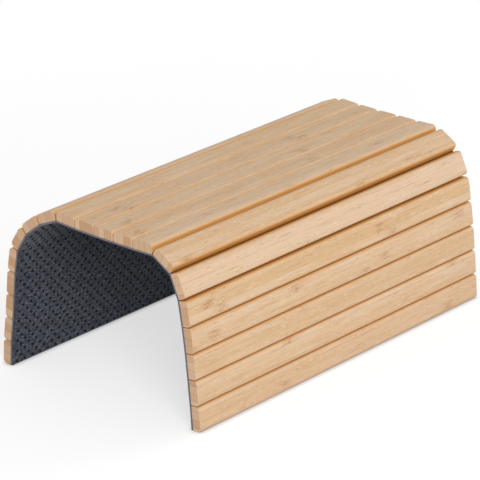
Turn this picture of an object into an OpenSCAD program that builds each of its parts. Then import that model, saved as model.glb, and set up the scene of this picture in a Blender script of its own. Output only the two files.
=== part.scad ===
// Sofa arm tray: bamboo slats glued side by side on one felt sheet, which bends between them.
// It is drawn as it drapes over the arm of a sofa, and it also lies flat and rolls up.
// Millimetres, +Z up. The slats run along Y, and the two ends of the mat stand at Z = 0.

/* [Slats] */
// Distance from one slat to the next across the mat
slat_pitch = 22.5; // [16:0.5:32]
// Length of a slat
slat_len = 352; // [200:1:500]
// Thickness of a slat
slat_thick = 8.5; // [6:0.1:12]
// Gap between two slats when the mat lies flat
slat_gap = 0.6; // [0.4:0.1:1.2]
// Radius along the two long edges of the face
edge_r = 3.3; // [1:0.1:5]
// Bevel where the face meets the two short ends
end_bevel = 0.6; // [0.2:0.1:1.5]

/* [Felt] */
// Thickness of the felt sheet
felt_thick = 2; // [1:0.1:3]
// Slit along each bend line, next to the slats
felt_slit = 0.3; // [0.2:0.05:0.4]

/* [Roll] */
// Radius inside the innermost turn when the mat is rolled up
roll_core_r = 16; // [13:0.5:40]
// Air between one turn of the roll and the next
roll_air = 2; // [1.5:0.1:6]

/* [Drape] */
// Bends down the left leg, from its foot, in degrees
left_leg_bends = [5, -2, -0.5, 4.5]; // [-3:0.5:10]
// Bends round the left corner of the arm, in degrees
left_corner_bends = [22, 18.5, 14, 25.5]; // [0:0.5:29]
// Bends across the top of the arm, in degrees
top_bends = [-2, -1, 0, -1.5]; // [-3:0.5:10]
// Bends round the right corner of the arm, in degrees
right_corner_bends = [32.5, 37, 14]; // [0:0.5:40]
// Bends down the right leg, to its foot, in degrees
right_leg_bends = [2.5, 1.5, 0.5, 1]; // [-3:0.5:10]

/* [Hidden] */
bends = concat(left_leg_bends, left_corner_bends, top_bends, right_corner_bends, right_leg_bends);
slats = len(bends) + 1;
slat_w = slat_pitch - slat_gap;

// Line n lies between slats n - 1 and n. Lines 0 and slats are the free ends of the mat.
// Section coordinates of a slat: s across it from its first line, h out from the felt.

function is_free_end(n) = n == 0 || n == slats;

// Inner turns of the roll are smaller, so their lines bend further.
turn_step = slat_thick + felt_thick + roll_air;
function roll_r(n) = sqrt(pow(roll_core_r, 2) + (slats - n) * slat_pitch * turn_step / PI);
function roll_bend(n) = 2 * asin(slat_pitch / 2 / roll_r(n));

// The mat is laid out from its left foot, then turned until both feet are level.
function first_sum(list, count) = count == 0 ? 0 : list[count - 1] + first_sum(list, count - 1);
function course(k) = -first_sum(bends, k);
function unit(angle) = [cos(angle), sin(angle)];
function line_point(n) = n == 0 ? [0, 0] : line_point(n - 1) + slat_pitch * unit(course(n - 1));
function laid(k, s, h) = line_point(k) + s * unit(course(k)) + h * unit(course(k) + 90);

left_foot = laid(0, slat_gap / 2, -felt_thick);
right_foot = laid(slats - 1, slat_pitch - slat_gap / 2, -felt_thick);
foot_line = right_foot - left_foot;
level_turn = -atan2(foot_line[1], foot_line[0]);

function levelled(point) = [
    point[0] * cos(level_turn) - point[1] * sin(level_turn),
    point[0] * sin(level_turn) + point[1] * cos(level_turn)
];
function heading(k) = course(k) + level_turn;

// Centres of the rounded edges, which reach furthest out all along the mat
edge_centres = [
    for (k = [0 : slats - 1], s = [slat_gap / 2 + edge_r, slat_pitch - slat_gap / 2 - edge_r])
        levelled(laid(k, s, slat_thick - edge_r))
];
left_x = min([for (c = edge_centres) c[0]]) - edge_r;
right_x = max([for (c = edge_centres) c[0]]) + edge_r;
foot_z = levelled(left_foot)[1];

function line_at(n) = levelled(line_point(n)) - [(left_x + right_x) / 2, foot_z];

function node_name(kind, k) = str(kind, "_", k < 9 ? "0" : "", k + 1);

// Puts a section drawn in s and h on its slat's place in the mat.
module on_the_mat(k) {
    translate([line_at(k)[0], 0, line_at(k)[1]])
        rotate([0, -heading(k), 0])
            children();
}

module along_the_slat() {
    translate([0, slat_len / 2, 0])
        rotate([90, 0, 0])
            linear_extrude(slat_len)
                children();
}

module slat_section() {
    translate([slat_gap / 2, 0]) {
        square([slat_w, slat_thick - edge_r]);
        translate([edge_r, 0])
            square([slat_w - 2 * edge_r, slat_thick]);
        for (s = [edge_r, slat_w - edge_r])
            translate([s, slat_thick - edge_r])
                circle(r = edge_r, $fn = 48);
    }
}

// Side view of a slat, with the bevels at its two short ends
module slat_side() {
    polygon([
        [-slat_len / 2, 0],
        [slat_len / 2, 0],
        [slat_len / 2, slat_thick - end_bevel],
        [slat_len / 2 - end_bevel, slat_thick],
        [-slat_len / 2 + end_bevel, slat_thick],
        [-slat_len / 2, slat_thick - end_bevel]
    ]);
}

module slat(k) {
    color("burlywood")
        on_the_mat(k)
            intersection() {
                along_the_slat()
                    slat_section();
                rotate([90, 0, 90])
                    linear_extrude(slat_pitch)
                        slat_side();
            }
}

// A felt strip ends at its bend lines, cut back on the arm's side so that the mat can roll up.
function felt_end(n) = is_free_end(n) ? slat_gap / 2 : felt_slit / 2;
function felt_cut_back(n) = is_free_end(n) ? 0 : felt_thick * tan(roll_bend(n) / 2);

module felt_section(k) {
    polygon([
        [felt_end(k), 0],
        [felt_end(k) + felt_cut_back(k), -felt_thick],
        [slat_pitch - felt_end(k + 1) - felt_cut_back(k + 1), -felt_thick],
        [slat_pitch - felt_end(k + 1), 0]
    ]);
}

module felt_strip(k) {
    color("dimgray")
        on_the_mat(k)
            along_the_slat()
                felt_section(k);
}

for (k = [0 : slats - 1]) {
    slat(k);
    felt_strip(k);
}
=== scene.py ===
"""Sofa arm tray: bamboo slats glued side by side on one felt sheet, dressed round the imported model.

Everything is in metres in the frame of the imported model. Each slat rides on its own strip, and the
felt is cut in the middle of each slat, where it never bends, so that each piece bends at one line.
"""

import logging
import math
import random
from dataclasses import dataclass, field
from enum import Enum

import bmesh
import bpy
from mathutils import Matrix, Vector, noise


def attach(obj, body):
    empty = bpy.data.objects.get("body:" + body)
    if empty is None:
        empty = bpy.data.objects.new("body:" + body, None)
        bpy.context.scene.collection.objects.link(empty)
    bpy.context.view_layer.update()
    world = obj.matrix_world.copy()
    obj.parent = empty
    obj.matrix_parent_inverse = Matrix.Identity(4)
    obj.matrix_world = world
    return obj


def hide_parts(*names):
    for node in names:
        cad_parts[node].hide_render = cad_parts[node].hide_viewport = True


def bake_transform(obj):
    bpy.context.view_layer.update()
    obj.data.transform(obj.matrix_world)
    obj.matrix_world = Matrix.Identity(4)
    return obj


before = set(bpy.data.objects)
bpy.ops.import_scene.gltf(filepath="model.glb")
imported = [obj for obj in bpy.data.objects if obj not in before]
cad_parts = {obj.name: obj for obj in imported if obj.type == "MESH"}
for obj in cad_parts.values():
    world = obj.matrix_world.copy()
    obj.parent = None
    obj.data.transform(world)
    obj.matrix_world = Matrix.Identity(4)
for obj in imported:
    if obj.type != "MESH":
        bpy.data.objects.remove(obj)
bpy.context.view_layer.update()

MM = 0.001
LOG = logging.getLogger("sofa_arm_tray")

# Sockets of the Mix node when it mixes colours
MIX_FACTOR, MIX_A, MIX_B, MIX_RESULT = 0, 6, 7, 2


class Slot(Enum):
    """Material slots of the record."""

    BAMBOO = "bamboo"
    FELT = "felt"


def linear(code: str) -> tuple[float, float, float, float]:
    """Turns an sRGB hex colour into linear red, green, blue and alpha.

    Args:
        code: The colour, such as "#DDBE98".

    Returns:
        Four linear numbers, the last one 1.
    """
    shares = [int(code[place : place + 2], 16) / 255 for place in (1, 3, 5)]
    red, green, blue = (
        share / 12.92 if share <= 0.04045 else ((share + 0.055) / 1.055) ** 2.4
        for share in shares
    )
    return red, green, blue, 1.0


def add_node(
    tree: bpy.types.NodeTree,
    kind: str,
    inputs: dict[str | int, object] | None = None,
    **settings: object,
) -> bpy.types.Node:
    """Adds a shader node with its settings and links.

    Args:
        tree: The node tree that it goes into.
        kind: The node's type, without the prefix that all shader nodes have.
        inputs: For each socket, a value, or the output socket that is linked to it.
        settings: The node's own properties.

    Returns:
        The new node.
    """
    node = tree.nodes.new("ShaderNode" + kind)
    for name, value in settings.items():
        setattr(node, name, value)
    for socket, value in (inputs or {}).items():
        if isinstance(value, bpy.types.NodeSocket):
            tree.links.new(value, node.inputs[socket])
        else:
            node.inputs[socket].default_value = value
    return node


def new_material(name: str) -> tuple[bpy.types.Material, bpy.types.NodeTree]:
    """Starts a material with an empty node tree.

    Args:
        name: The material's name.

    Returns:
        The material and its node tree.
    """
    material = bpy.data.materials.new(name)
    material.use_nodes = True
    material.node_tree.nodes.clear()
    return material, material.node_tree


def finished(name: str, shape: bmesh.types.BMesh, material: bpy.types.Material) -> bpy.types.Object:
    """Makes an object at the origin from a finished bmesh, and frees the bmesh.

    Args:
        name: The piece's name.
        shape: The mesh, in the row frame.
        material: The material of all its faces.

    Returns:
        The linked object.
    """
    mesh = bpy.data.meshes.new(name)
    for face in shape.faces:
        face.smooth = True
    shape.to_mesh(mesh)
    shape.free()
    mesh.materials.append(material)
    piece = bpy.data.objects.new(name, mesh)
    bpy.context.scene.collection.objects.link(piece)
    LOG.info("%s: %d faces", name, len(mesh.polygons))
    return piece


@dataclass(frozen=True)
class LaminatedBamboo:
    """Bamboo strips glued edge to edge, planed, sanded and given a thin satin oil.

    The eye sees short pale and brown fibres, a slight change of tone from strip to strip and from
    slat to slat, and a few feathery brown nodes. Between two slats a warm glow of bounced light and
    the shade deep in the gap are painted into the colour.
    """

    pale: str = "#D8BB9A"
    ground: str = "#CFAB81"
    pink: str = "#D9B79C"
    amber: str = "#D2A874"
    fibre: str = "#AC7A49"
    shine: str = "#DFC8A4"
    node: str = "#A56D3E"
    glue: str = "#B58655"
    end: str = "#DDBA98"
    end_dark: str = "#C69B73"
    # Painted warm light, as bounced between two slats, on the shoulders and side walls
    painted_wall_glow: str = "#D19A53"
    # Painted shade at the bottom of the gap between two slats
    deep: str = "#824A12"
    strip_mm: float = 7.3
    cloud_mm: tuple[float, float, float] = (5.0, 60.0, 5.0)
    fibre_mm: tuple[float, float, float] = (0.7, 34.0, 0.7)
    # Real dashes are half as wide, which would not show
    dash_mm: tuple[float, float, float] = (0.95, 7.0, 0.95)
    node_gap_mm: float = 210.0
    node_half_mm: float = 6.5

    def material(self, slat: "SlatSizes") -> bpy.types.Material:
        """Builds the node material.

        Args:
            slat: The sizes of the slats that wear it.

        Returns:
            The material.
        """
        material, tree = new_material("laminated_bamboo_satin_oil")
        place = add_node(tree, "Attribute", attribute_name="slat_mm").outputs["Vector"]
        draw = add_node(tree, "Attribute", attribute_name="slat_draw").outputs["Fac"]
        across, along, height = add_node(tree, "SeparateXYZ", {0: place}).outputs

        # Strips: one random tone each, with a fine glue line between them
        shifted = add_node(tree, "Math", {0: draw, 1: 97.0}, operation="MULTIPLY").outputs[0]
        strip_no = add_node(
            tree, "Math", {0: across, 1: 1 / self.strip_mm, 2: shifted}, operation="MULTIPLY_ADD"
        ).outputs[0]
        strip_rule = {"W": strip_no, "Scale": 1.0, "Randomness": 0.35}
        strip = add_node(tree, "TexVoronoi", strip_rule, voronoi_dimensions="1D")
        strip_draws = add_node(tree, "SeparateXYZ", {0: strip.outputs["Color"]}).outputs
        joint = add_node(
            tree, "TexVoronoi", strip_rule, voronoi_dimensions="1D", feature="DISTANCE_TO_EDGE"
        )
        glue_line = add_node(
            tree,
            "MapRange",
            {0: joint.outputs["Distance"], 1: 0.0, 2: 0.4 / self.strip_mm, 3: 1.0, 4: 0.0},
            interpolation_type="SMOOTHSTEP",
        ).outputs[0]

        # Each strip draws its own grain, so the fibres end at the glue lines
        grain_no = add_node(
            tree, "Math", {0: strip_draws[0], 1: 40.0, 2: shifted}, operation="MULTIPLY_ADD"
        ).outputs[0]
        grains = []
        for size, detail in ((self.cloud_mm, 2.0), (self.fibre_mm, 2.0), (self.dash_mm, 1.0)):
            spread = add_node(
                tree, "VectorMath", {0: place, 1: tuple(1 / s for s in size)}, operation="MULTIPLY"
            ).outputs[0]
            noises = add_node(
                tree,
                "TexNoise",
                {"Vector": spread, "W": grain_no, "Scale": 1.0, "Detail": detail},
                noise_dimensions="4D",
            )
            grains.append(add_node(tree, "SeparateXYZ", {0: noises.outputs["Color"]}).outputs)
        cloud, fibre, dash = grains

        # Nodes: one brown band every node_gap_mm on each strip, feathered along the fibres
        node_turn = add_node(
            tree,
            "Math",
            {0: along, 1: 1 / self.node_gap_mm, 2: grain_no},
            operation="MULTIPLY_ADD",
        ).outputs[0]
        node_share = add_node(tree, "Math", {0: node_turn}, operation="FRACT").outputs[0]
        from_node = add_node(tree, "Math", {0: node_share, 1: 0.5}, operation="SUBTRACT").outputs[0]
        node_reach = add_node(tree, "Math", {0: from_node}, operation="ABSOLUTE").outputs[0]
        node_ragged = add_node(
            tree,
            "Math",
            {0: fibre[1], 1: 12.0 / self.node_gap_mm, 2: node_reach},
            operation="MULTIPLY_ADD",
        ).outputs[0]
        node_band = add_node(
            tree,
            "MapRange",
            {
                0: node_ragged,
                1: 5.0 / self.node_gap_mm,
                2: (5.0 + 2 * self.node_half_mm) / self.node_gap_mm,
                3: 1.0,
                4: 0.0,
            },
            interpolation_type="SMOOTHSTEP",
        ).outputs[0]
        node_kept = add_node(
            tree, "MapRange", {0: strip_draws[1], 1: 0.4, 2: 0.65, 3: 0.0, 4: 1.0}
        ).outputs[0]
        node_place = add_node(tree, "Math", {0: node_band, 1: node_kept}, operation="MULTIPLY")
        feather = add_node(
            tree,
            "MapRange",
            {0: dash[1], 1: 0.42, 2: 0.62, 3: 0.08, 4: 0.68},
            interpolation_type="SMOOTHSTEP",
        ).outputs[0]
        node_mark = add_node(
            tree, "Math", {0: node_place.outputs[0], 1: feather}, operation="MULTIPLY"
        ).outputs[0]

        # Colours of the face, from the ground up
        tone = add_node(
            tree, "Math", {0: strip_draws[2], 1: 0.5, 2: cloud[0]}, operation="MULTIPLY_ADD"
        ).outputs[0]
        marks = {}
        for name, source, low, high, most in (
            ("tone", tone, 0.5, 1.0, 1.0),
            ("warm", cloud[1], 0.4, 0.6, 0.7),
            ("line", fibre[0], 0.57, 0.73, 0.6),
            ("dark_dash", dash[0], 0.6, 0.76, 0.55),
            ("pale_dash", dash[2], 0.58, 0.72, 0.7),
        ):
            marks[name] = add_node(
                tree,
                "MapRange",
                {0: source, 1: low, 2: high, 3: 0.0, 4: most},
                interpolation_type="SMOOTHSTEP",
            ).outputs[0]
        slat_hue = add_node(
            tree,
            "Mix",
            {MIX_FACTOR: draw, MIX_A: linear(self.pink), MIX_B: linear(self.amber)},
            data_type="RGBA",
        ).outputs[MIX_RESULT]
        glue_mark = add_node(tree, "Math", {0: glue_line, 1: 0.3}, operation="MULTIPLY").outputs[0]
        colour = linear(self.pale)
        for mark, next_colour in (
            (marks["tone"], linear(self.ground)),
            (marks["warm"], slat_hue),
            (marks["line"], linear(self.fibre)),
            (marks["pale_dash"], linear(self.shine)),
            (marks["dark_dash"], linear(self.fibre)),
            (node_mark, linear(self.node)),
            (glue_mark, linear(self.glue)),
        ):
            colour = add_node(
                tree,
                "Mix",
                {MIX_FACTOR: mark, MIX_A: colour, MIX_B: next_colour},
                data_type="RGBA",
            ).outputs[MIX_RESULT]

        # Shoulders and side walls: painted warm light, as bounced between two slats, and painted
        # shade low in the gap
        aside = add_node(tree, "Math", {0: across}, operation="ABSOLUTE").outputs[0]
        beside = add_node(
            tree,
            "MapRange",
            {0: aside, 1: slat.width / 2 - 3.2, 2: slat.width / 2 - 0.3},
            interpolation_type="SMOOTHSTEP",
        ).outputs[0]
        below = add_node(
            tree, "MapRange", {0: height, 1: slat.thickness - 0.5, 2: slat.thickness - 2.8}
        ).outputs[0]
        painted_wall_mark = add_node(tree, "Math", {0: beside, 1: below}, operation="MULTIPLY").outputs[0]
        # Painted shade: the walls turn to the deep brown towards the bottom of the gap
        painted_gap_shade_mark = add_node(tree, "MapRange", {0: height, 1: 2.0, 2: 0.3}).outputs[0]
        painted_wall_light = add_node(
            tree,
            "Mix",
            {MIX_FACTOR: painted_gap_shade_mark, MIX_A: linear(self.painted_wall_glow), MIX_B: linear(self.deep)},
            data_type="RGBA",
        ).outputs[MIX_RESULT]

        # End grain: duller than the face, with the strips side by side and thin glue lines
        outer = add_node(tree, "Math", {0: along}, operation="ABSOLUTE").outputs[0]
        end_mark = add_node(
            tree,
            "MapRange",
            {0: outer, 1: slat.length / 2 - 0.35, 2: slat.length / 2 - 0.05},
            interpolation_type="SMOOTHSTEP",
        ).outputs[0]
        end_colour = add_node(
            tree,
            "Mix",
            {MIX_FACTOR: strip_draws[1], MIX_A: linear(self.end), MIX_B: linear(self.end_dark)},
            data_type="RGBA",
        ).outputs[MIX_RESULT]
        end_glue = add_node(tree, "Math", {0: glue_line, 1: 0.6}, operation="MULTIPLY").outputs[0]
        end_colour = add_node(
            tree,
            "Mix",
            {MIX_FACTOR: end_glue, MIX_A: end_colour, MIX_B: linear(self.node)},
            data_type="RGBA",
        ).outputs[MIX_RESULT]
        for mark, next_colour in ((painted_wall_mark, painted_wall_light), (end_mark, end_colour)):
            colour = add_node(
                tree,
                "Mix",
                {MIX_FACTOR: mark, MIX_A: colour, MIX_B: next_colour},
                data_type="RGBA",
            ).outputs[MIX_RESULT]

        roughness = add_node(
            tree, "MapRange", {0: fibre[0], 1: 0.3, 2: 0.7, 3: 0.45, 4: 0.6}
        ).outputs[0]
        relief = add_node(
            tree, "Math", {0: glue_line, 1: -0.6, 2: fibre[0]}, operation="MULTIPLY_ADD"
        ).outputs[0]
        bump = add_node(
            tree, "Bump", {"Height": relief, "Strength": 0.5, "Distance": 0.06 * MM}
        ).outputs[0]
        shader = add_node(
            tree,
            "BsdfPrincipled",
            {"Base Color": colour, "Roughness": roughness, "Normal": bump, "IOR": 1.5},
        )
        add_node(tree, "OutputMaterial", {"Surface": shader.outputs[0]})
        return material


@dataclass(frozen=True)
class NeedledFelt:
    """Dark grey polyester felt, needled from crimped fibres of a few greys and cut with a knife.

    The eye sees a matt dark ground with short paler and darker hairs lying every way, and a paler
    line along the cut edge, where the ends of the fibres catch the light.
    """

    deep: str = "#191B24"
    ground: str = "#3D414D"
    hair: str = "#7F8496"
    edge: str = "#85818B"
    seam: str = "#2B2624"
    # Painted warm light, bounced from the wood onto the bottom of an open bend
    painted_gap_glow: str = "#845626"
    # Real hairs are a thirtieth as wide, so only their tufts are drawn
    hair_mm: float = 0.75
    hair_run_mm: float = 2.6

    def material(self, felt: "FeltSizes") -> bpy.types.Material:
        """Builds the node material.

        Args:
            felt: The sizes of the sheet that wears it.

        Returns:
            The material.
        """
        material, tree = new_material("needled_polyester_felt")
        place = add_node(tree, "Attribute", attribute_name="felt_mm").outputs["Vector"]
        axes = add_node(tree, "SeparateXYZ", {0: place})
        across, along, height = axes.outputs

        # Hairs lie in three directions, each a noise that is stretched one way
        hairs = []
        for turn in (20.0, 80.0, 140.0):
            turned = add_node(
                tree,
                "Mapping",
                {
                    "Vector": place,
                    "Rotation": (0.0, 0.0, math.radians(turn)),
                    "Scale": (1 / self.hair_mm, 1 / self.hair_run_mm, 1 / self.hair_mm),
                },
            ).outputs[0]
            hairs.append(
                add_node(
                    tree,
                    "TexNoise",
                    {"Vector": turned, "Scale": 1.0, "Detail": 2.0, "Distortion": 0.6},
                ).outputs[0]
            )
        paler = add_node(tree, "Math", {0: hairs[0], 1: hairs[1]}, operation="MAXIMUM").outputs[0]
        darker = add_node(tree, "Math", {0: hairs[1], 1: hairs[2]}, operation="MINIMUM").outputs[0]
        pale_mark = add_node(
            tree,
            "MapRange",
            {0: paler, 1: 0.54, 2: 0.72, 3: 0.0, 4: 0.9},
            interpolation_type="SMOOTHSTEP",
        ).outputs[0]
        dark_mark = add_node(
            tree,
            "MapRange",
            {0: darker, 1: 0.48, 2: 0.34, 3: 0.0, 4: 1.0},
            interpolation_type="SMOOTHSTEP",
        ).outputs[0]
        colour = add_node(
            tree,
            "Mix",
            {MIX_FACTOR: pale_mark, MIX_A: linear(self.ground), MIX_B: linear(self.hair)},
            data_type="RGBA",
        ).outputs[MIX_RESULT]
        colour = add_node(
            tree,
            "Mix",
            {MIX_FACTOR: dark_mark, MIX_A: colour, MIX_B: linear(self.deep)},
            data_type="RGBA",
        ).outputs[MIX_RESULT]

        # Glued face: painted warm light, bounced from the wood, which shows brown at the bottom of an
        # open bend
        painted_gap_glow_mark = add_node(tree, "MapRange", {0: height, 1: -0.3, 2: -0.1}).outputs[0]
        colour = add_node(
            tree,
            "Mix",
            {MIX_FACTOR: painted_gap_glow_mark, MIX_A: colour, MIX_B: linear(self.painted_gap_glow)},
            data_type="RGBA",
        ).outputs[MIX_RESULT]

        # Cut edge: palest next to the dark line of glue, and darker towards the face of the sheet
        outer = add_node(tree, "Math", {0: along}, operation="ABSOLUTE").outputs[0]
        edge_mark = add_node(
            tree,
            "MapRange",
            {0: outer, 1: felt.length / 2 - 0.3, 2: felt.length / 2 - 0.1},
        ).outputs[0]
        glued = add_node(
            tree, "MapRange", {0: height, 1: -0.55, 2: -0.2}, interpolation_type="SMOOTHSTEP"
        ).outputs[0]
        inward = add_node(
            tree, "MapRange", {0: height, 1: -0.4 * felt.thickness, 2: -felt.thickness}
        ).outputs[0]
        cut_colour = add_node(
            tree,
            "Mix",
            {MIX_FACTOR: inward, MIX_A: linear(self.edge), MIX_B: linear(self.deep)},
            data_type="RGBA",
        ).outputs[MIX_RESULT]
        edge_colour = add_node(
            tree,
            "Mix",
            {MIX_FACTOR: glued, MIX_A: cut_colour, MIX_B: linear(self.seam)},
            data_type="RGBA",
        ).outputs[MIX_RESULT]
        colour = add_node(
            tree,
            "Mix",
            {MIX_FACTOR: edge_mark, MIX_A: colour, MIX_B: edge_colour},
            data_type="RGBA",
        ).outputs[MIX_RESULT]

        relief = add_node(tree, "Math", {0: paler, 1: darker}, operation="ADD").outputs[0]
        bump = add_node(
            tree, "Bump", {"Height": relief, "Strength": 0.8, "Distance": 0.35 * MM}
        ).outputs[0]
        shader = add_node(
            tree,
            "BsdfPrincipled",
            {
                "Base Color": colour,
                "Roughness": 0.95,
                "Specular IOR Level": 0.2,
                "Sheen Weight": 0.2,
                "Sheen Roughness": 0.5,
                "Normal": bump,
            },
        )
        add_node(tree, "OutputMaterial", {"Surface": shader.outputs[0]})
        return material


@dataclass(frozen=True)
class PrintedRubber:
    """Black soft PVC, printed on the felt in drops and cured, so each drop is round and smooth.

    The eye sees near-black dull beads with a little lint on them.
    """

    bead: str = "#08080B"
    lint: str = "#1B1B20"

    def material(self) -> bpy.types.Material:
        """Builds the node material."""
        material, tree = new_material("printed_pvc_dots")
        place = add_node(tree, "Attribute", attribute_name="felt_mm").outputs["Vector"]
        lint = add_node(
            tree, "TexNoise", {"Vector": place, "Scale": 1.6, "Detail": 3.0}
        ).outputs[0]
        lint_mark = add_node(
            tree, "MapRange", {0: lint, 1: 0.5, 2: 0.75, 3: 0.0, 4: 0.4}
        ).outputs[0]
        colour = add_node(
            tree,
            "Mix",
            {MIX_FACTOR: lint_mark, MIX_A: linear(self.bead), MIX_B: linear(self.lint)},
            data_type="RGBA",
        ).outputs[MIX_RESULT]
        roughness = add_node(
            tree, "MapRange", {0: lint, 1: 0.3, 2: 0.7, 3: 0.6, 4: 0.8}
        ).outputs[0]
        shader = add_node(
            tree,
            "BsdfPrincipled",
            {"Base Color": colour, "Roughness": roughness, "Specular IOR Level": 0.18},
        )
        add_node(tree, "OutputMaterial", {"Surface": shader.outputs[0]})
        return material


@dataclass(frozen=True)
class SlatSizes:
    """Sizes of one slat, in millimetres."""

    width: float = 21.9
    length: float = 352.0
    thickness: float = 8.5
    shoulder: float = 3.3
    end_ease: float = 0.7
    foot_ease: float = 0.3


@dataclass(frozen=True)
class FeltSizes:
    """Sizes of the felt sheet and of its dots, in millimetres."""

    pitch: float = 22.5
    length: float = 351.4
    thickness: float = 2.0
    end_margin: float = 0.3
    bend_reach: float = 2.5
    bend_step: float = 0.5
    along_step: float = 4.4
    dot_across: float = 4.93
    dot_along: float = 8.96
    dot_first: tuple[float, float] = (2.8, 0.4)
    dot_radius: float = 1.45
    dot_height: float = 0.55


@dataclass(frozen=True)
class Station:
    """Where a slat sits: the middle of its underside, and the way that it faces."""

    number: int
    place: Matrix

    @property
    def label(self) -> str:
        """The slat's number as its CAD names write it."""
        return f"{self.number:02d}"

    @property
    def body(self) -> str:
        """The CAD body that the slat moves with."""
        return f"strip_{self.label}"

    @staticmethod
    def of_node(number: int, node: bpy.types.Object) -> "Station":
        """Reads a station from its CAD slat, whose glued underside is its largest face.

        Args:
            number: The slat's number, from the left foot.
            node: The CAD slat.

        Returns:
            The station.
        """
        mesh = node.data
        underside = max(mesh.polygons, key=lambda face: face.area)
        outward = -underside.normal
        across = Vector((outward.z, 0.0, -outward.x))
        reaches = [vertex.co.dot(across) for vertex in mesh.vertices]
        level = min(vertex.co.dot(outward) for vertex in mesh.vertices)
        place = Matrix((across, (0.0, 1.0, 0.0), outward)).transposed().to_4x4()
        place.translation = across * (min(reaches) + max(reaches)) / 2 + outward * level
        return Station(number, place)


@dataclass
class BambooSlats:
    """The slats: one rounded board each, with its ends eased all round."""

    stations: list[Station]
    sizes: SlatSizes = field(default_factory=SlatSizes)
    finish: LaminatedBamboo = field(default_factory=LaminatedBamboo)

    def board(self, draw: float) -> bmesh.types.BMesh:
        """Shapes one slat in its own coordinates, lying on its underside.

        Args:
            draw: The slat's own random number, which its grain reads.

        Returns:
            The slat's mesh, in metres.
        """
        sizes = self.sizes
        shape = bmesh.new()
        bmesh.ops.create_cube(shape, size=1.0)
        bmesh.ops.scale(
            shape, vec=(sizes.width * MM, sizes.length * MM, sizes.thickness * MM), verts=shape.verts
        )
        bmesh.ops.translate(shape, vec=(0.0, 0.0, sizes.thickness / 2 * MM), verts=shape.verts)
        self.round_edges(shape, self.long_edges(shape, upper=True), sizes.shoulder, 8)
        self.round_edges(shape, self.end_edges(shape), sizes.end_ease, 3)
        self.round_edges(shape, self.long_edges(shape, upper=False), sizes.foot_ease, 2)
        bmesh.ops.recalc_face_normals(shape, faces=shape.faces)
        places = shape.verts.layers.float_vector.new("slat_mm")
        draws = shape.verts.layers.float.new("slat_draw")
        for vertex in shape.verts:
            vertex[places] = vertex.co / MM
            vertex[draws] = draw
        return shape

    def long_edges(self, shape: bmesh.types.BMesh, upper: bool) -> list[bmesh.types.BMEdge]:
        """Finds the long edges of the face or of the underside."""
        level = self.sizes.thickness * MM if upper else 0.0
        reach = self.sizes.width / 2 * MM
        return [
            edge
            for edge in shape.edges
            if edge.calc_length() > self.sizes.length * MM * 0.9
            and all(
                abs(vertex.co.z - level) < 1e-6 and abs(abs(vertex.co.x) - reach) < 1e-6
                for vertex in edge.verts
            )
        ]

    def end_edges(self, shape: bmesh.types.BMesh) -> list[bmesh.types.BMEdge]:
        """Finds the outlines of the two end faces."""
        reach = self.sizes.length / 2 * MM
        return [
            edge
            for edge in shape.edges
            if all(abs(abs(vertex.co.y) - reach) < 1e-6 for vertex in edge.verts)
        ]

    @staticmethod
    def round_edges(
        shape: bmesh.types.BMesh, edges: list[bmesh.types.BMEdge], radius: float, segments: int
    ) -> None:
        """Rounds some edges.

        Args:
            shape: The mesh that they belong to.
            edges: The edges.
            radius: The radius, in millimetres.
            segments: How many faces go round it.
        """
        bmesh.ops.bevel(
            shape,
            geom=edges,
            offset=radius * MM,
            offset_type="OFFSET",
            segments=segments,
            profile=0.5,
            affect="EDGES",
            material=-1,
            clamp_overlap=True,
        )

    def build(self) -> list[bpy.types.Object]:
        """Makes the slats, each in the place of its CAD node and on its body."""
        material = self.finish.material(self.sizes)
        draws = random.Random(57687)
        pieces = []
        for station in self.stations:
            shape = self.board(draws.random())
            shape.transform(station.place)
            piece = finished(f"bamboo_slat_{station.label}", shape, material)
            # Keeps the shading flat beside the rounded shoulders
            weighted = piece.modifiers.new("flat_faces_lead", "WEIGHTED_NORMAL")
            weighted.keep_sharp = True
            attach(piece, station.body)
            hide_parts(f"slat_{station.label}")
            pieces.append(piece)
        return pieces


@dataclass(frozen=True)
class BendLine:
    """A line between two slats, where the felt bends from one slat's plane to the next one's."""

    before: Station
    after: Station
    sizes: FeltSizes

    @property
    def angle(self) -> float:
        """How far the felt turns towards the arm here, in radians."""
        first, second = (station.place.col[0].to_3d() for station in (self.before, self.after))
        return math.atan2(first.cross(second).y, first.dot(second))

    def place(self, across: float, along: float, height: float) -> Vector:
        """Finds where a point of the flat sheet is at rest.

        The felt leaves both slats at the same distance from the line and turns in one even arc,
        which stays on the arm's side of the corner between the two undersides.

        Args:
            across: Distance from the line in millimetres, below 0 under the first slat.
            along: Distance along the slats from their middle, in millimetres.
            height: Height over the felt's glued face in millimetres, below 0 in the felt.

        Returns:
            The point in the row frame, in metres.
        """
        reach, turn = self.sizes.bend_reach, self.angle
        half = self.sizes.pitch / 2
        if across <= -reach or abs(turn) < 1e-4:
            flat = Vector((half + across, along, height))
            return self.before.place @ (flat * MM)
        if across >= reach:
            flat = Vector((across - half, along, height))
            return self.after.place @ (flat * MM)
        radius = reach / math.tan(turn / 2)
        turned = turn * (across + reach) / (2 * reach)
        bent = Vector(
            (
                half - reach + (radius + height) * math.sin(turned),
                along,
                -radius + (radius + height) * math.cos(turned),
            )
        )
        return self.before.place @ (bent * MM)

    def bend(self, piece: bpy.types.Object) -> None:
        """Bakes a piece's transform into its mesh, which place has already bent at this line.

        Args:
            piece: A finished mesh that crosses the line.
        """
        middle = self.place(0.0, 0.0, 0.0)
        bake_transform(piece)


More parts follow.
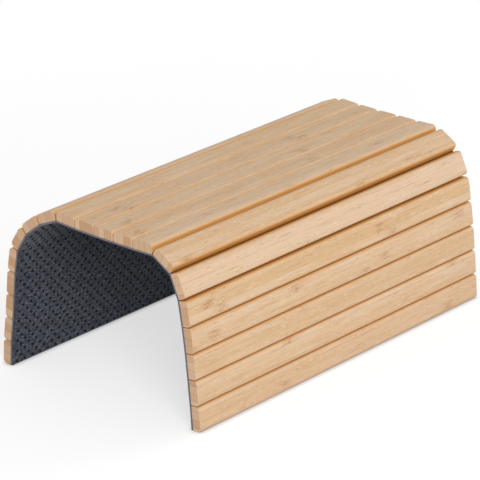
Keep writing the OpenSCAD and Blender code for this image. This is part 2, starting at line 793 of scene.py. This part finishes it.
@dataclass
class FeltBacking:
    """The felt sheet under all the slats, and the dots on its side towards the arm."""

    stations: list[Station]
    sizes: FeltSizes = field(default_factory=FeltSizes)
    felt: NeedledFelt = field(default_factory=NeedledFelt)
    rubber: PrintedRubber = field(default_factory=PrintedRubber)

    def span(self, line: int) -> tuple[float, float]:
        """Finds how far a piece reaches on both sides of its line, in millimetres.

        Args:
            line: The line's number, from 1.

        Returns:
            Where it starts and ends: mid-slat, or at a free end of the sheet.
        """
        half, full = self.sizes.pitch / 2, self.sizes.pitch - self.sizes.end_margin
        last = len(self.stations) - 1
        return (-full if line == 1 else -half), (full if line == last else half)

    def ripple(self, across: float, along: float) -> float:
        """Gives how much thicker the felt is at a point of the sheet, in millimetres."""
        return 0.12 * noise.noise(Vector((across / 11.0, along / 14.0, 0.0)))

    def cuts(self, line: int) -> list[float]:
        """Lists where a piece is cut into columns, in millimetres from its line."""
        start, end = self.span(line)
        reach, step = self.sizes.bend_reach, self.sizes.bend_step
        steps = round(2 * reach / step)
        bend = [-reach + step * number for number in range(steps + 1)]
        sides = [start + (-reach - start) * share / 4 for share in (1, 2, 3)]
        sides += [reach + (end - reach) * share / 4 for share in (1, 2, 3)]
        return sorted(bend + sides)

    def sheet_piece(self, line: BendLine, number: int) -> bmesh.types.BMesh:
        """Shapes the felt from the middle of one slat to the middle of the next.

        Args:
            line: The line that it bends at.
            number: The line's number, from 1.

        Returns:
            The mesh in the row frame, in metres.
        """
        start, end = self.span(number)
        shape = bmesh.new()
        bmesh.ops.create_cube(shape, size=1.0)
        bmesh.ops.scale(
            shape, vec=(end - start, self.sizes.length, self.sizes.thickness), verts=shape.verts
        )
        bmesh.ops.translate(
            shape, vec=((start + end) / 2, 0.0, -self.sizes.thickness / 2), verts=shape.verts
        )
        bmesh.ops.subdivide_edges(
            shape,
            edges=[e for e in shape.edges if e.calc_length() > self.sizes.length * 0.9],
            cuts=round(self.sizes.length / self.sizes.along_step) - 1,
            use_grid_fill=True,
        )
        for cut in self.cuts(number):
            bmesh.ops.bisect_plane(
                shape,
                geom=shape.verts[:] + shape.edges[:] + shape.faces[:],
                plane_co=(cut, 0.0, 0.0),
                plane_no=(1.0, 0.0, 0.0),
            )
        places = shape.verts.layers.float_vector.new("felt_mm")
        for vertex in shape.verts:
            across, along, height = vertex.co
            sheet_across = across + number * self.sizes.pitch
            vertex[places] = (sheet_across, along, height)
            if height < -self.sizes.thickness / 2:
                height -= self.ripple(sheet_across, along)
            vertex.co = line.place(across, along, height)
        return shape

    def dots_piece(self, line: BendLine, number: int) -> bmesh.types.BMesh:
        """Shapes the dots under one piece of the felt.

        Args:
            line: The line that they bend at with it.
            number: The line's number, from 1.

        Returns:
            The mesh in the row frame, in metres.
        """
        sizes = self.sizes
        start, end = self.span(number)
        shape = bmesh.new()
        margin = sizes.dot_radius + 1.0
        squeeze = Matrix.Diagonal((1.0, 1.0, sizes.dot_height / sizes.dot_radius, 1.0))
        low = number * sizes.pitch + start
        high = number * sizes.pitch + end
        sheet_end = len(self.stations) * sizes.pitch
        first_across, first_along = sizes.dot_first
        for column in range(math.floor(sheet_end / sizes.dot_across)):
            across = first_across + column * sizes.dot_across
            if not max(low, margin) < across <= min(high, sheet_end - margin):
                continue
            offset = first_along + (sizes.dot_along / 2 if column % 2 else 0.0)
            reach = sizes.length / 2 - margin
            first = -math.floor((reach + offset) / sizes.dot_along)
            copies = math.floor((reach - offset) / sizes.dot_along) - first
            where = Vector(
                (
                    across - number * sizes.pitch,
                    first * sizes.dot_along + offset,
                    -sizes.thickness,
                )
            )
            dot = bmesh.ops.create_uvsphere(
                shape,
                u_segments=8,
                v_segments=4,
                radius=sizes.dot_radius,
                matrix=Matrix.Translation(where) @ squeeze,
            )["verts"]
            faces = {face for vertex in dot for face in vertex.link_faces}
            bmesh.ops.spin(
                shape,
                geom=dot + list({e for f in faces for e in f.edges}) + list(faces),
                axis=(0.0, 0.0, 1.0),
                dvec=(0.0, sizes.dot_along, 0.0),
                steps=copies,
                use_duplicate=True,
            )
        places = shape.verts.layers.float_vector.new("felt_mm")
        for vertex in shape.verts:
            across, along, height = vertex.co
            sheet_across = across + number * sizes.pitch
            vertex[places] = (sheet_across, along, height)
            vertex.co = line.place(across, along, height - self.ripple(sheet_across, along))
        return shape

    def build(self) -> list[bpy.types.Object]:
        """Makes the felt and its dots, each piece bending at its line."""
        felt, rubber = self.felt.material(self.sizes), self.rubber.material()
        pieces = []
        for number, (before, after) in enumerate(zip(self.stations, self.stations[1:]), 1):
            line = BendLine(before, after, self.sizes)
            label = f"{before.label}_{after.label}"
            sheet = finished(f"felt_{label}", self.sheet_piece(line, number), felt)
            sheet.data.set_sharp_from_angle(angle=math.radians(50))
            dots = finished(f"grip_dots_{label}", self.dots_piece(line, number), rubber)
            nodes = [f"felt_{before.label}"]
            if after is self.stations[-1]:
                nodes.append(f"felt_{after.label}")
            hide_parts(*nodes)
            for piece in (sheet, dots):
                line.bend(piece)
                pieces.append(piece)
        return pieces


@dataclass(frozen=True)
class StudioWhite:
    """Matt white paper under the object, which keeps a soft shadow and is white beyond it."""

    paper: str = "#F4F4F4"
    shade_share: float = 0.54
    lift: float = 0.62
    contact_mm: float = 6.0
    shade_ends_m: tuple[float, float] = (0.4, 0.9)

    def floor(self) -> bpy.types.Material:
        """Builds the floor's material: paper that the camera sees lifted, and white far away."""
        material, tree = new_material("matt_white_paper")
        colour = linear(self.paper)
        paper = add_node(tree, "BsdfDiffuse", {"Color": colour}).outputs[0]
        softer = tuple(self.shade_share * part for part in colour[:3]) + (1.0,)
        shade = add_node(tree, "BsdfDiffuse", {"Color": softer}).outputs[0]
        # Painted contact shadow: ambient occlusion darkens the lift that the camera sees near the
        # object
        near = add_node(tree, "AmbientOcclusion", {"Distance": self.contact_mm * MM}).outputs[0]
        white = add_node(tree, "Emission", {"Color": near, "Strength": self.lift}).outputs[0]
        lifted = add_node(tree, "AddShader", {0: shade, 1: white}).outputs[0]
        place = add_node(tree, "TexCoord").outputs["Object"]
        away = add_node(tree, "VectorMath", {0: place}, operation="LENGTH").outputs["Value"]
        start, end = self.shade_ends_m
        far = add_node(
            tree, "MapRange", {0: away, 1: start, 2: end}, interpolation_type="SMOOTHSTEP"
        ).outputs[0]
        plain = add_node(tree, "Emission", {"Strength": 1.0}).outputs[0]
        view = add_node(tree, "MixShader", {0: far, 1: lifted, 2: plain}).outputs[0]
        mixed = add_node(tree, "MixShader", {0: self.seen(tree), 1: paper, 2: view}).outputs[0]
        add_node(tree, "OutputMaterial", {"Surface": mixed})
        return material

    @staticmethod
    def seen(tree: bpy.types.NodeTree) -> bpy.types.NodeSocket:
        """Adds the nodes that tell what the camera sees, straight or in a mirror, from light."""
        path = add_node(tree, "LightPath").outputs
        rays = ("Is Camera Ray", "Is Glossy Ray", "Is Transmission Ray")
        total = path[rays[0]]
        for ray in rays[1:]:
            total = add_node(
                tree, "Math", {0: total, 1: path[ray]}, operation="ADD", use_clamp=True
            ).outputs[0]
        return total

    def world(self, strength: float) -> bpy.types.World:
        """Builds a white world that lights the object at one strength and is seen as white.

        Args:
            strength: How strongly it lights the object.

        Returns:
            The world.
        """
        world = bpy.data.worlds.new("white_studio")
        world.use_nodes = True
        tree = world.node_tree
        tree.nodes.clear()
        level = add_node(tree, "MapRange", {0: self.seen(tree), 3: strength, 4: 1.0}).outputs[0]
        shade = add_node(tree, "Background", {"Color": linear("#FFFFFF"), "Strength": level})
        add_node(tree, "OutputWorld", {"Surface": shade.outputs[0]})
        return world


@dataclass(frozen=True)
class Softbox:
    """A square lamp that points at a spot."""

    name: str
    place: tuple[float, float, float]
    width: float
    watts: float
    spot: tuple[float, float, float] = (0.0, 0.0, 0.09)

    def build(self) -> bpy.types.Object:
        """Makes the lamp."""
        lamp = bpy.data.lights.new(self.name, "AREA")
        lamp.shape = "SQUARE"
        lamp.size = self.width
        lamp.energy = self.watts
        light = bpy.data.objects.new(self.name, lamp)
        light.location = self.place
        towards = Vector(self.spot) - Vector(self.place)
        light.rotation_euler = towards.to_track_quat("-Z", "Y").to_euler()
        bpy.context.scene.collection.objects.link(light)
        return light


@dataclass(frozen=True)
class Studio:
    """The camera, the floor and the lamps."""

    azimuth: float = 44.741
    elevation: float = 21.164
    roll: float = -3.378
    eye: tuple[float, float, float] = (1.59568, -1.60907, 0.96126)
    focal_px: float = 2818.68
    frame_px: float = 480.0
    sensor_mm: float = 36.0
    floor_m: float = 14.0
    world_strength: float = 0.5
    paper: StudioWhite = field(default_factory=StudioWhite)
    lamps: tuple[Softbox, ...] = (
        Softbox("key_softbox", (2.13, -1.49, 1.59), 1.2, 44.0),
        Softbox("back_softbox", (0.7, 1.9, 0.55), 1.2, 13.0),
    )

    def camera(self) -> bpy.types.Object:
        """Makes the camera at the photograph's angle, a little turned about its own view line."""
        turn, rise, tilt = (math.radians(a) for a in (self.azimuth, self.elevation, self.roll))
        back = Vector(
            (
                math.sin(turn) * math.cos(rise),
                -math.cos(turn) * math.cos(rise),
                math.sin(rise),
            )
        )
        right = Vector((0.0, 0.0, 1.0)).cross(back).normalized()
        up = back.cross(right)
        tilted = right * math.cos(tilt) + up * math.sin(tilt)
        upright = up * math.cos(tilt) - right * math.sin(tilt)
        camera = bpy.data.objects.new("camera", bpy.data.cameras.new("camera"))
        camera.data.sensor_width = self.sensor_mm
        camera.data.lens = self.focal_px * self.sensor_mm / self.frame_px
        camera.data.clip_end = 50.0
        camera.matrix_world = Matrix.Translation(self.eye) @ Matrix(
            (tilted, upright, back)
        ).transposed().to_4x4()
        bpy.context.scene.collection.objects.link(camera)
        bpy.context.scene.camera = camera
        return camera

    def floor(self) -> bpy.types.Object:
        """Makes the floor that the tray's two ends stand on."""
        shape = bmesh.new()
        bmesh.ops.create_grid(shape, x_segments=1, y_segments=1, size=self.floor_m / 2)
        floor = finished("studio_floor", shape, self.paper.floor())
        return floor

    def build(self) -> None:
        """Sets up everything round the object."""
        self.camera()
        self.floor()
        bpy.context.scene.world = self.paper.world(self.world_strength)
        for lamp in self.lamps:
            lamp.build()
        bpy.context.scene.view_settings.view_transform = "Standard"


def main() -> None:
    """Builds the studio and the tray, and reports each piece."""
    logging.basicConfig(level=logging.INFO, format="%(name)s: %(message)s")
    Studio().build()
    count = sum(name.startswith("slat_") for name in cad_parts)
    stations = [
        Station.of_node(number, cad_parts[f"slat_{number:02d}"])
        for number in range(1, count + 1)
    ]
    BambooSlats(stations).build()
    FeltBacking(stations).build()


if __name__ == "__main__":
    main()
